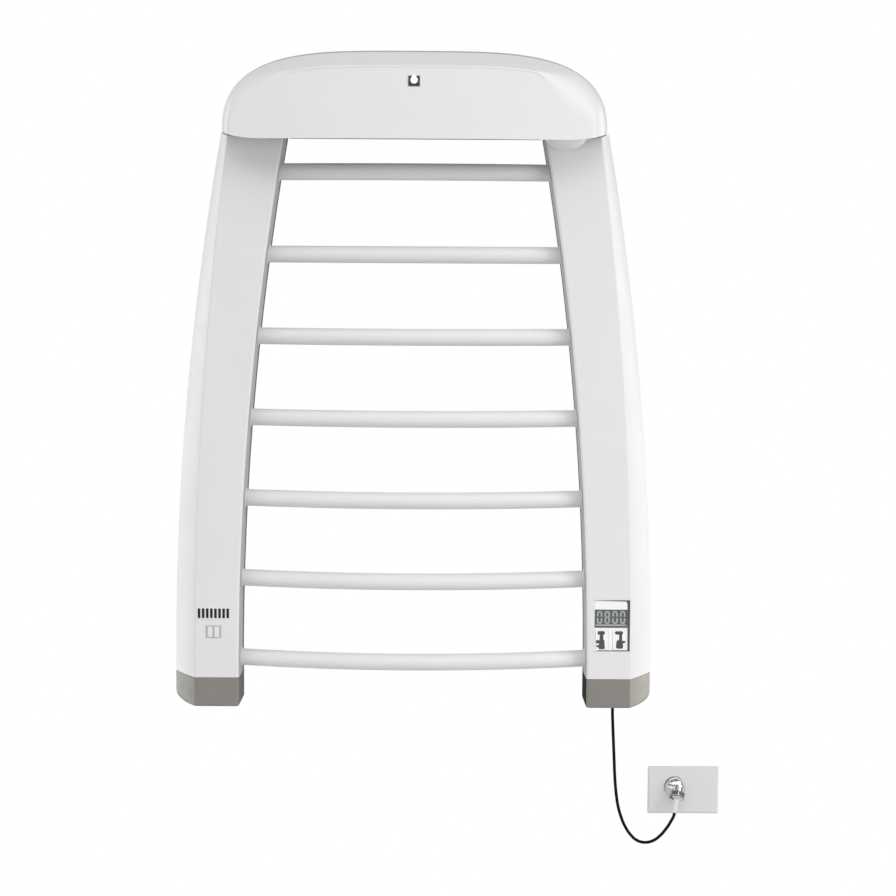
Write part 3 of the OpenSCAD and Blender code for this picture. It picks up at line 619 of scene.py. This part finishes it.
def hood():
    """The hood's shell, ring by ring from its open back over the rim and down to the lip."""
    low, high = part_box("hood_shell")
    verts = [v.co for v in nodes["hood_shell"].data.vertices]
    half, top, depth, back, lip_low = high.x, high.z, -low.y, -high.y, low.z
    rim_top = top - max(v.z for v in verts if v.y < low.y + 1e-5)
    rim_start = max(-v.y for v in verts if v.z > top - 1e-5)
    end_depth = max(-v.y for v in verts if v.x > half - 1e-5)
    bow = (rim_start - end_depth) / (half * half)
    stations = [-math.cos(math.pi * i / 120) for i in range(121)]

    def lip(x):
        reach = min(1, (abs(x) - LIP_START) / (half - LIP_START))
        if reach <= 0:
            return lip_low
        return HOOD_BASE - (HOOD_BASE - lip_low) * math.sqrt(max(0, 1 - reach * reach))

    def ring(place):
        """One ring of the hood; place(u) gives its depth, inset and how far it is bowed."""
        line = []
        for u in stations:
            at_depth, inset, bowed = place(u)
            x = u * (half - HOOD_RIM * inset)
            line.append((
                x, bow * x * x * bowed - at_depth,
                HOOD_ENDS + (top - rim_top * inset - HOOD_ENDS) * rise(u),
            ))
        first, last = [(p[0], p[1], lip(p[0])) for p in (line[0], line[-1])]
        return [first] + line + [last]

    def bezier(a, b, c, t):
        return a * (1 - t) ** 2 + b * 2 * t * (1 - t) + c * t * t

    def crease(t):
        """Rounding between the rim and the front, tight in the middle and wide at the ends."""
        def place(u):
            w = min(1, max(0, (abs(u) - 0.62) / 0.3))
            w = w * w * (3 - 2 * w)
            r, roll = lerp(0.05, 0.75, w), lerp(0.05, 2.0 if u > 0 else 0.9, w)
            p = bezier(
                Vector((lerp(rim_start, depth, 1 - r), 1 - r)), Vector((depth, 1)),
                Vector((depth, 1 + roll)), t,
            )
            return p.x, p.y, 1
        return place

    def rim_edge(t):
        p = bezier(
            Vector((lerp(back, rim_start, 0.82), 0)), Vector((rim_start, 0)),
            Vector((lerp(rim_start, depth, 0.22), 0.22)), t,
        )
        return lambda u: (p.x, p.y, min(1, (p.x - back) / (rim_start - back)))

    flat = [
        ring(lambda u, t=t: (lerp(back, rim_start, t), 0, t)) for t in (0, 0.2, 0.4, 0.6, 0.75)
    ]
    edge = [ring(rim_edge(k / 10)) for k in range(11)]
    creased = [ring(crease(k / 12)) for k in range(13)]
    rows = flat + edge + creased
    top_shade = range(len(flat) + 4, len(flat) + 8)
    lips = [lip(p[0]) for p in rows[-1]]
    # the groove below the crease fades towards the lip
    for down, deep in ((0.0006, 0), (0.0008, 0.0009), (0.0018, 0.0009), (0.0020, 0)):
        rows.append([
            (p[0], p[1] + (deep if abs(p[0]) < GROOVE_HALF else 0),
             p[2] - down * min(1, max(0, p[2] - end) / 0.02))
            for p, end in zip(creased[-1], lips)
        ])
    start = rows[-1]
    for k in range(1, 21):
        rows.append([(p[0], p[1], lerp(p[2], end, k / 20)) for p, end in zip(start, lips)])
    mesh = grid_mesh("hood_skin", rows, outward=((0, -depth, 0.5), (0, -1, 0)))
    piece = add_piece("hood_skin", mesh, "frame", "white_hood_plastic", angle=50)
    # Painted shade on the rows where the hood's top rounds over
    mesh.materials.append(top_shade_grey)
    for face in mesh.polygons:
        if face.index // (len(start) - 1) in top_shade:
            face.material_index = 1
    add_modifier(piece, "SOLIDIFY", thickness=SHELL_WALL, offset=-1, use_even_offset=False)
    soften(piece, 0.0008, 3, 60)
    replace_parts(piece, "hood_shell")
    # Painted shadow in the gap where each end of the hood meets its upright
    for side, name in ((1, "hood_seal_right"), (-1, "hood_seal_left")):
        path = sorted((Vector(p) for p in rows[-1] if p[0] * side > 0.268), key=lambda p: abs(p.x))
        path += [Vector(r[-1] if side > 0 else r[0]) for r in reversed(creased[2:])]
        hood_shadow_bead(name, path)


def hood_shadow_bead(name, path):
    """A thin dark bead, tapering at its start, where an end of the hood meets its upright: painted
    shadow of the gap between them.
    """
    path = [p for i, p in enumerate(path) if i == 0 or (p - path[i - 1]).length > 0.0004]
    rings = []
    for i, p in enumerate(path):
        ahead = (path[min(i + 1, len(path) - 1)] - path[max(i - 1, 0)]).normalized()
        turn = ahead.to_track_quat("Z", "Y").to_matrix()
        r = 0.0008 * min(1, 0.15 + i / (len(path) * 0.7))
        centre = p + Vector((0, 0.0006, -0.0002))
        rings.append([centre + turn @ q for q in circle(r, 10)])
    add_piece(name, grid_mesh(name, rings, closed=True, capped=True), "frame", "gland_black")


hood()


def motor_dome():
    """The round cover of the fan's motor, which hangs under the hood."""
    low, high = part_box("motor_cover")
    x, y = (low.x + high.x) / 2, (low.y + high.y) / 2
    radius, drop = (high.x - low.x) / 2, high.z - low.z
    rows = []
    for k in range(25):
        turn = math.pi / 2 * (1 - k / 24)
        r, z = radius * math.sin(turn), high.z - drop * math.cos(turn)
        rows.append([Vector((x, y, 0)) + p for p in circle(r, 72, z)])
    mesh = grid_mesh("motor_dome", rows, closed=True, outward=((x, y, low.z), (0, 0, -1)))
    piece = add_piece("motor_dome", mesh, "frame", "white_hood_plastic")
    add_modifier(piece, "SOLIDIFY", thickness=0.002, offset=-1)
    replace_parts(piece, "motor_cover")


motor_dome()

# ---- Small parts with rounded edges --------------------------------------------------

for node, width in (
    ("back_cover_left", 0.0006), ("back_cover_right", 0.0006), ("wall_brackets", 0.0005),
    ("frame_screws", 0.0003), ("hood_screws", 0.0003), ("hood_back_panel", 0.0004),
    ("outlet_grille", 0.0004), ("bar_bushes", 0.0003),
    ("cable_gland", 0.0006), ("badge_plate", 0.0002),
    ("indicator_bezel", 0.0005), ("indicator_lens", 0.0008),
    ("display_window", 0.0003), ("outlet_plate", 0.0012), ("outlet_sleeve", 0.0005),
):
    refine(node, width)
# The dark underpan deepens the shade under the hood: painted shade
refine("hood_underpan", 0.0004, material=pan_painted_shade)
refine("button_rail", 0.0007, 3)
refine("button_fan", 0.0007, 3)


WINDOW_GAP = 0.0003


def panel_frame():
    """The control panel's white frame, cut out for its window and keys."""
    low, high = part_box("panel_bezel")
    piece = add_piece("panel_frame", box_mesh(low, high), "frame", "panel_white")
    cutters = []
    for node in ("display_window", "button_rail", "button_fan"):
        a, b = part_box(node)
        cutters.append(box_mesh(
            (a.x - WINDOW_GAP, low.y - 0.01, a.z - WINDOW_GAP),
            (b.x + WINDOW_GAP, high.y + 0.01, b.z + WINDOW_GAP),
        ))
    cut(piece, cutters)
    soften(piece, 0.0003, 2, 40)
    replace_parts(piece, "panel_bezel")


panel_frame()


SLOTS, SLOT_STEP, SLOT_W, SLOT_H = 8, 0.0066, 0.0042, 0.0156


def grille():
    """The slotted cover of the air sensor."""
    low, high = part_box("sensor_grille")
    lip = low.y + 0.0008
    mesh = box_mesh((low.x, low.y, low.z), (high.x, lip, high.z))
    piece = add_piece("sensor_cover", mesh, "frame", "white_powder_coat")
    cutters = []
    for k in range(SLOTS):
        x = (low.x + high.x) / 2 + (k - (SLOTS - 1) / 2) * SLOT_STEP
        z = (low.z + high.z) / 2
        cutters.append(box_mesh(
            (x - SLOT_W / 2, low.y - 0.01, z - SLOT_H / 2),
            (x + SLOT_W / 2, lip + 0.01, z + SLOT_H / 2),
        ))
    cut(piece, cutters)
    soften(piece, 0.0003, 2, 40)
    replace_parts(piece, "sensor_grille")


grille()


ELBOW = Vector((0.443, -0.016, -0.621))
ELBOW_AXIS = Vector((-0.2, -0.62, -0.76)).normalized()


def gland_nut():
    """The elbow's hexagonal nut, with chamfered corners and a cone where the sleeve leaves."""
    turn = ELBOW_AXIS.to_track_quat("Z", "Y").to_matrix() @ Matrix.Rotation(math.radians(12), 3, "Z")
    rows = []
    for along, wide in (
        (0.0095, 0.0118), (0.0105, 0.0135), (0.0190, 0.0135), (0.0200, 0.0120), (0.0200, 0.0100),
        (0.0225, 0.0066), (0.0225, 0.0031), (0.0140, 0.0031),
    ):
        rows.append([ELBOW + turn @ p for p in circle(wide, 6, along)])
    mesh = grid_mesh("gland_nut", rows, closed=True)
    piece = add_piece("gland_nut", mesh, "frame", "chrome_gland", angle=25)
    mesh.materials.append(chrome_shade)
    # Painted dark reflections on the chamfers and on the side facets
    for face in mesh.polygons:
        out = face.center - ELBOW
        along = out.dot(ELBOW_AXIS)
        radial = (out - ELBOW_AXIS * along).normalized()
        chamfer = abs(along - 0.01) < 3e-4 or abs(along - 0.0195) < 3e-4
        if chamfer or radial.x < -0.75 or (radial.x > 0.75 and radial.z > -0.2):
            face.material_index = 1
    soften(piece, 0.0005, 2, 20)
    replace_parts(piece, "outlet_gland_nut")


gland_nut()

# ---- Outlet elbow --------------------------------------------------------------------

refine("outlet_gland_body", 0.0006, 3)

# ---- Display digits and pictograms ---------------------------------------------------


def flat_shapes(name, shapes, y, thick, body, material, slot):
    """Flat printed shapes, each a list of (x, z) corners, in front of the plane at y."""
    bm = bmesh.new()
    for shape in shapes:
        back = [bm.verts.new((x, y, z)) for x, z in shape]
        face = bm.faces.new(back)
        made = bmesh.ops.extrude_face_region(bm, geom=[face])
        for v in made["geom"]:
            if isinstance(v, bmesh.types.BMVert):
                v.co.y -= thick
    bmesh.ops.recalc_face_normals(bm, faces=bm.faces)
    mesh = bpy.data.meshes.new(name)
    bm.to_mesh(mesh)
    bm.free()
    return add_piece(name, mesh, body, slot, material, angle=30)


def rectangle(x, z, w, h):
    left, right, down, up = x - w / 2, x + w / 2, z - h / 2, z + h / 2
    return [(left, down), (right, down), (right, up), (left, up)]


SEGMENTS = {"0": "abcdef", "8": "abcdefg"}


def digit(char, x, z, w, h, t):
    """The seven-segment strokes of a digit centred on (x, z)."""
    places = {
        "a": (0, h / 2, w, t), "g": (0, 0, w, t), "d": (0, -h / 2, w, t),
        "f": (-w / 2, h / 4, t, h / 2 - t), "b": (w / 2, h / 4, t, h / 2 - t),
        "e": (-w / 2, -h / 4, t, h / 2 - t), "c": (w / 2, -h / 4, t, h / 2 - t),
    }
    lit = [places[k] for k in places if k in SEGMENTS[char]]
    return [rectangle(x + across, z + up, wide, high) for across, up, wide, high in lit]


STROKE = 0.0026
BORDER = 0.0016


def display_print():
    """Four digits, a strip under them and a dark border, printed on the display's window."""
    low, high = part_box("display_window")
    mid_x, mid_z = (low.x + high.x) / 2, (low.z + high.z) / 2
    wide, tall = high.x - low.x, high.z - low.z
    strokes = []
    for char, place in zip("0800", (-0.36, -0.12, 0.12, 0.36)):
        strokes += digit(
            char, mid_x + place * wide, mid_z + 0.08 * tall, 0.12 * wide, 0.62 * tall, STROKE
        )
    strip = rectangle(mid_x, low.z + 0.14 * tall, wide * 0.96, STROKE)
    border = [
        rectangle(mid_x, high.z - BORDER / 2, wide, BORDER),
        rectangle(mid_x, low.z + BORDER / 2, wide, BORDER),
        rectangle(low.x + BORDER / 2, mid_z, BORDER, tall - 2 * BORDER),
        rectangle(high.x - BORDER / 2, mid_z, BORDER, tall - 2 * BORDER),
    ]
    for name, shapes, thick, ink in (
        ("display_digits", strokes, 0.00012, segment_light),
        ("display_strip", [strip], 0.00010, segment_light),
        ("display_border", border, 0.00014, frame_ink_and_shadow),
    ):
        flat_shapes(name, shapes, low.y, thick, "frame", ink, "display_glass")


display_print()


def rounded(x0, z0, x1, z1, r, top=0):
    """A rounded rectangle; top narrows its upper side by that much on each side."""
    line = []
    for cx, cz, start in (
        (x1 - r, z1 - r, 0), (x0 + r, z1 - r, 90), (x0 + r, z0 + r, 180), (x1 - r, z0 + r, 270)
    ):
        lean = top * (cz - z0) / (z1 - z0) * (-1 if cx > (x0 + x1) / 2 else 1)
        for k in range(6):
            angle = math.radians(start + 18 * k)
            line.append((cx + lean + r * math.cos(angle), cz + r * math.sin(angle)))
    return line


def pictogram(node, name, shapes):
    """Dark printed shapes on a key's face, in millimetres in the frame's X and Z."""
    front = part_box(node)[0].y
    for k, shape in enumerate(shapes):
        placed = [(p * MM, q * MM) for p, q in shape]
        flat_shapes(
            f"{name}_{k}", [placed], front + 0.00001 * k, 0.00014, body_of[node], pictogram_ink,
            slot_of[node],
        )


pictogram("button_rail", "heat_pictogram", [
    rounded(298.4, -347.2, 310.4, -341.4, 2.2, 0.3), rounded(301.6, -357.0, 308.2, -344.4, 1.4, 0.6),
    rounded(300.2, -371.0, 310.6, -355.4, 2.2, 1.2), rounded(296.0, -361.6, 301.6, -356.0, 1.4, 0),
    rounded(296.6, -367.8, 301.4, -364.0, 1.2, 0),
])
pictogram("button_fan", "fan_pictogram", [
    rounded(326.4, -347.0, 339.8, -341.4, 2.4, 0.3), rounded(333.2, -357.0, 338.4, -344.4, 1.4, 0.4),
    rounded(328.0, -370.0, 340.4, -356.0, 3.0, 1.4), rounded(338.6, -361.0, 343.2, -357.0, 1.2, 0),
])

# A dark line along the panel's top, right and bottom: painted shadow of its recess
low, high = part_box("panel_bezel")
flat_shapes(
    "panel_seal",
    [[(low.x + 0.002, high.z - 0.0006), (high.x - 0.006, high.z - 0.0022),
      (high.x - 0.0040, high.z - 0.0060), (high.x - 0.0030, low.z + 0.0012),
      (low.x + 0.006, low.z + 0.0010), (low.x + 0.006, low.z + 0.0001),
      (high.x - 0.0001, low.z + 0.0001), (high.x - 0.0001, high.z - 0.0001),
      (low.x + 0.002, high.z - 0.0001)]],
    low.y, 0.00016, "frame", frame_ink_and_shadow, "panel_white",
)

# ---- Badge fields and the outlet's painted shadow rings ------------------------------

BADGE_RIM = 0.0026


def badge_fields():
    """Two plain enamel fields in the badge's pockets."""
    low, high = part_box("badge_plate")
    wide = (high.x - low.x - 3 * BADGE_RIM) / 2
    for k in (0, 1):
        start = low.x + BADGE_RIM + k * (wide + BADGE_RIM)
        shape = rounded(
            start + 0.0002, low.z + 0.0014, start + wide - 0.0002, high.z - 0.0014, 0.001
        )
        flat_shapes(
            f"badge_field_{k}", [shape], low.y + 0.0002, 0.00012, "frame", enamel, "badge_metal"
        )


badge_fields()


SHADOW_RING_WIDE, SHADOW_RING_THICK = 0.003, 0.0018
FLANGE = Vector((0.4385, -0.0088, -0.622))


def shadow_ring(name, middle, axis, radius):
    """A thin round-edged black ring about axis, which stands for a shadow gap: painted shadow."""
    turn = Vector(axis).to_track_quat("Z", "Y").to_matrix()
    rows = []
    for i in range(12):
        a = 2 * math.pi * i / 12
        r = radius - SHADOW_RING_WIDE / 2 + SHADOW_RING_WIDE / 2 * math.cos(a)
        h = SHADOW_RING_THICK / 2 * math.sin(a)
        rows.append([middle + turn @ p for p in circle(r, 48, h)])
    rows.append(rows[0])
    add_piece(name, grid_mesh(name, rows, closed=True), "frame", "gland_black")


# Painted shadow: black rings in the gap under the nut, and peeking out above and left of the flange
shadow_ring("nut_seal", ELBOW + ELBOW_AXIS * 0.0118, ELBOW_AXIS, 0.0118)
shadow_ring("flange_gasket", FLANGE + Vector((-0.0009, 0, 0.0009)), (0, -1, 0), 0.0170)

# ---- Everything else keeps its CAD shape ---------------------------------------------

for node, piece in nodes.items():
    piece.data.materials.clear()
    piece.data.materials.append(materials[slot_of[node]])

# ---- Floor, world and lights ---------------------------------------------------------

FLOOR_Z = -1.25
floor_mesh = grid_mesh(
    "floor", [[(x, y, FLOOR_Z) for x in (-2.4, 2.4)] for y in (-2.6, 1.0)],
    outward=((0, 0, FLOOR_Z), (0, 0, 1)),
)
floor = bpy.data.objects.new("floor", floor_mesh)
scene.collection.objects.link(floor)
floor_mesh.materials.append(finish_material(
    "floor_pale", (0.72, 0.72, 0.715), (0.7, 0.05, 0, 0.5, 0.004, 0.00002, 0.01)
))

world = bpy.data.worlds.new("studio")
scene.world = world
world.use_nodes = True
tree = world.node_tree
tree.nodes.clear()
output = tree.nodes.new("ShaderNodeOutputWorld")
coords = tree.nodes.new("ShaderNodeTexCoord")
axes = tree.nodes.new("ShaderNodeSeparateXYZ")
tree.links.new(coords.outputs["Generated"], axes.inputs["Vector"])


def ramp_of(axis, stops):
    """A grey ramp over one axis of the light's direction, from -1 to 1."""
    spread = tree.nodes.new("ShaderNodeMapRange")
    spread.inputs["From Min"].default_value = -1
    spread.inputs["From Max"].default_value = 1
    tree.links.new(axes.outputs[axis], spread.inputs["Value"])
    ramp = tree.nodes.new("ShaderNodeValToRGB")
    ramp.color_ramp.interpolation = "LINEAR"
    while len(ramp.color_ramp.elements) < len(stops):
        ramp.color_ramp.elements.new(0.5)
    for element, (place, grey) in zip(ramp.color_ramp.elements, stops):
        element.position = place
        element.color = (grey, grey, grey, 1)
    tree.links.new(spread.outputs["Result"], ramp.inputs["Fac"])
    return ramp.outputs["Color"]


def mix(kind, first, second):
    """Two colours multiplied or added, without clamping."""
    node = tree.nodes.new("ShaderNodeMix")
    node.data_type = "RGBA"
    node.blend_type = kind
    node.clamp_result = False
    node.inputs["Factor"].default_value = 1
    tree.links.new(first, node.inputs["A"])
    tree.links.new(second, node.inputs["B"])
    return node.outputs["Result"]


front = ramp_of("Y", [(0.0, 1.0), (0.42, 1.0), (0.56, 0.0), (1.0, 0.0)])
back = ramp_of("Y", [(0.0, 0.0), (0.50, 0.0), (0.60, 1.0), (1.0, 1.0)])
levels = ramp_of(
    "Z", [(0.0, 0.75), (0.25, 0.10), (0.5, 1.22), (0.675, 0.10), (0.825, 1.88), (1.0, 0.10)]
)
backs = ramp_of("X", [(0.0, 0.92), (0.5, 0.26), (1.0, 0.05)])
studio = tree.nodes.new("ShaderNodeBackground")
glow_front, glow_back = mix("MULTIPLY", front, levels), mix("MULTIPLY", back, backs)
tree.links.new(mix("ADD", glow_front, glow_back), studio.inputs["Color"])
paper = tree.nodes.new("ShaderNodeBackground")
paper.inputs["Color"].default_value = (1, 1, 1, 1)
paper.inputs["Strength"].default_value = 1.0
seen = tree.nodes.new("ShaderNodeLightPath")
choice = tree.nodes.new("ShaderNodeMixShader")
tree.links.new(seen.outputs["Is Camera Ray"], choice.inputs["Fac"])
tree.links.new(studio.outputs["Background"], choice.inputs[1])
tree.links.new(paper.outputs["Background"], choice.inputs[2])
tree.links.new(choice.outputs["Shader"], output.inputs["Surface"])


def soft_light(name, place, target, width, height, power):
    """A rectangular lamp at place that looks at target and isn't seen itself."""
    data = bpy.data.lights.new(name, "AREA")
    data.shape = "RECTANGLE"
    data.size, data.size_y = width, height
    data.energy = power
    lamp = bpy.data.objects.new(name, data)
    scene.collection.objects.link(lamp)
    lamp.visible_camera = False
    lamp.location = place
    lamp.rotation_euler = (Vector(target) - Vector(place)).to_track_quat("-Z", "Y").to_euler()


soft_light("key_right", (2.6, -1.7, 1.0), (0, 0, 0), 1.6, 2.4, 25)
soft_light("key_high", (0.2, -2.2, 1.9), (0, 0, 0.1), 1.8, 1.0, 7)
soft_light("rim_right", (2.9, 1.7, 0.0), (0.35, 0, 0), 1.7, 3.2, 40)
soft_light("rim_left", (-2.9, 1.7, 0.0), (-0.35, 0, 0), 1.7, 3.2, 28)
scene.view_settings.view_transform = "Standard"
